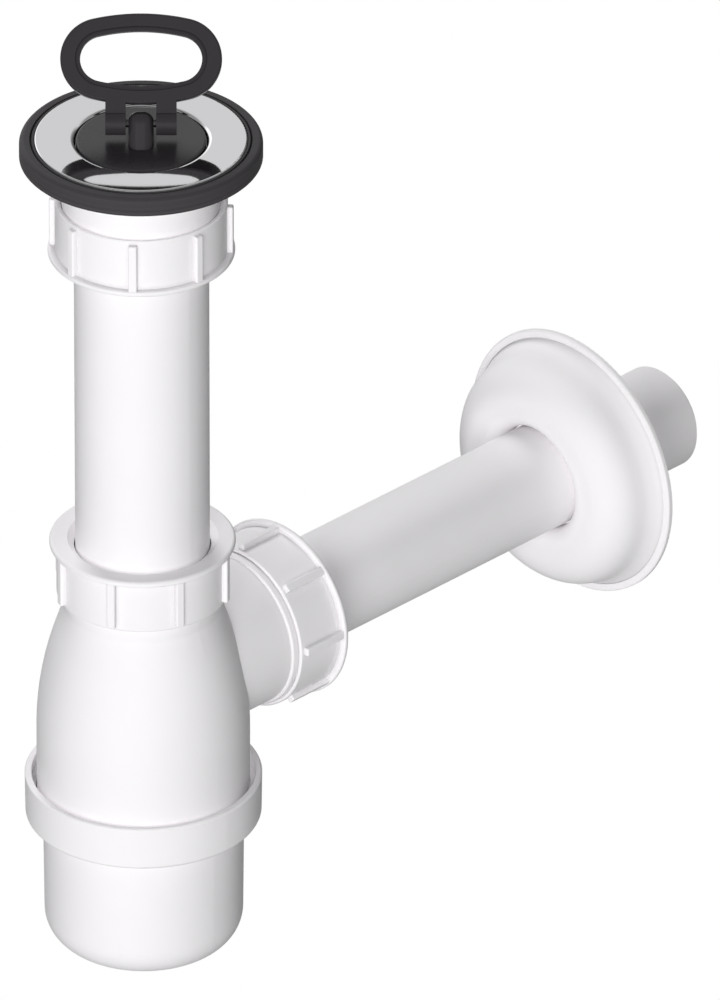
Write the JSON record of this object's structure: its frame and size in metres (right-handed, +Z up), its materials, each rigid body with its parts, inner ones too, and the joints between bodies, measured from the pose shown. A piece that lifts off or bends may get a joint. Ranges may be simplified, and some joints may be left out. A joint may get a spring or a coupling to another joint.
{
  "type": "basin bottle trap",
  "caption": "White bottle trap for a wash basin, with a steel waste and black plug with pull, ribbed compression nuts, screw-off cup and an outlet pipe with wall flange.",
  "frame": {"origin": "on the axis of the outlet pipe, in the plane where the wall flange meets the wall", "axes": "+Y along the outlet pipe into the wall, +Z up along the tailpipe, +X to the right for a person facing the wall"},
  "size_m": [0.084, 0.2547, 0.3055],
  "materials": {
    "white_plastic": "satin-gloss moulded polypropylene",
    "black_plastic": "fine matt moulded plastic",
    "black_rubber": "matt moulded rubber",
    "seal_rubber": "matt moulded rubber",
    "polished_steel": "polished stainless steel",
    "brass": "machined"
  },
  "bodies": {
    "waste": {"waste_flange": "polished_steel", "flange_gasket": "black_rubber", "plug": "black_plastic", "plug_pin": "polished_steel", "clamp_screw": "polished_steel", "screw_insert": "brass", "waste_body": "white_plastic"},
    "pull": {"plug_handle": "black_plastic"},
    "waste_washer": {"waste_seal": "seal_rubber"},
    "waste_ring": {"waste_nut": "white_plastic"},
    "inlet": {"tailpipe": "white_plastic"},
    "bottle": {"bottle_body": "white_plastic"},
    "neck_washer": {"neck_seal": "seal_rubber"},
    "neck_ring": {"neck_nut": "white_plastic"},
    "cup_washer": {"cup_seal": "seal_rubber"},
    "cup": {"bottle_cup": "white_plastic"},
    "outlet_washer": {"outlet_seal": "seal_rubber"},
    "outlet_ring": {"outlet_nut": "white_plastic"},
    "outlet": {"outlet_pipe": "white_plastic"},
    "wall_cover": {"wall_flange": "white_plastic"}
  },
  "joints": [
    {"name": "pull_flip", "type": "hinge", "parent": "waste", "child": "pull", "pos_m": [0, -0.1814, 0.18874], "axis": [0.7071, 0.7071, 0], "range_deg": [-59, 129.5]},
    {"name": "waste_nut_travel", "type": "slide", "parent": "waste", "child": "waste_washer", "axis": [0, 0, -1], "range_m": [0, 0.00925]},
    {"name": "waste_nut_turn", "type": "hinge", "parent": "waste_washer", "child": "waste_ring", "pos_m": [0, -0.1814, 0.1542], "axis": [0, 0, -1], "range_deg": [0, 1440]},
    {"name": "trap_swivel", "type": "hinge", "parent": "waste", "child": "inlet", "pos_m": [0, -0.1814, 0.0776], "axis": [0, 0, 1], "continuous": true},
    {"name": "bottle_height", "type": "slide", "parent": "inlet", "child": "bottle", "axis": [0, 0, 1], "range_m": [-0.02, 0.014]},
    {"name": "neck_nut_travel", "type": "slide", "parent": "bottle", "child": "neck_washer", "axis": [0, 0, 1], "range_m": [0, 0.00925]},
    {"name": "neck_nut_turn", "type": "hinge", "parent": "neck_washer", "child": "neck_ring", "pos_m": [0, -0.1814, 0.0388], "axis": [0, 0, 1], "range_deg": [0, 1440]},
    {"name": "cup_travel", "type": "slide", "parent": "bottle", "child": "cup_washer", "axis": [0, 0, -1], "range_m": [0, 0.00801]},
    {"name": "cup_turn", "type": "hinge", "parent": "cup_washer", "child": "cup", "pos_m": [0, -0.1814, -0.0624], "axis": [0, 0, -1], "range_deg": [0, 720]},
    {"name": "outlet_nut_travel", "type": "slide", "parent": "bottle", "child": "outlet_washer", "axis": [0, 1, 0], "range_m": [0, 0.00925]},
    {"name": "outlet_nut_turn", "type": "hinge", "parent": "outlet_washer", "child": "outlet_ring", "pos_m": [0, -0.1314, 0], "axis": [0, 1, 0], "range_deg": [0, 1440]},
    {"name": "outlet_reach", "type": "slide", "parent": "bottle", "child": "outlet", "axis": [0, 1, 0], "range_m": [-0.01, 0.01]},
    {"name": "wall_flange_slide", "type": "slide", "parent": "outlet", "child": "wall_cover", "axis": [0, 1, 0], "range_m": [-0.08, 0.035]}
  ],
  "couplings": [
    {"joint": "waste_nut_travel", "follows": "waste_nut_turn", "m_per_rad": 0.00036749},
    {"joint": "neck_nut_travel", "follows": "neck_nut_turn", "m_per_rad": 0.00036749},
    {"joint": "cup_travel", "follows": "cup_turn", "m_per_rad": 0.00063662},
    {"joint": "outlet_nut_travel", "follows": "outlet_nut_turn", "m_per_rad": 0.00036749}
  ]
}
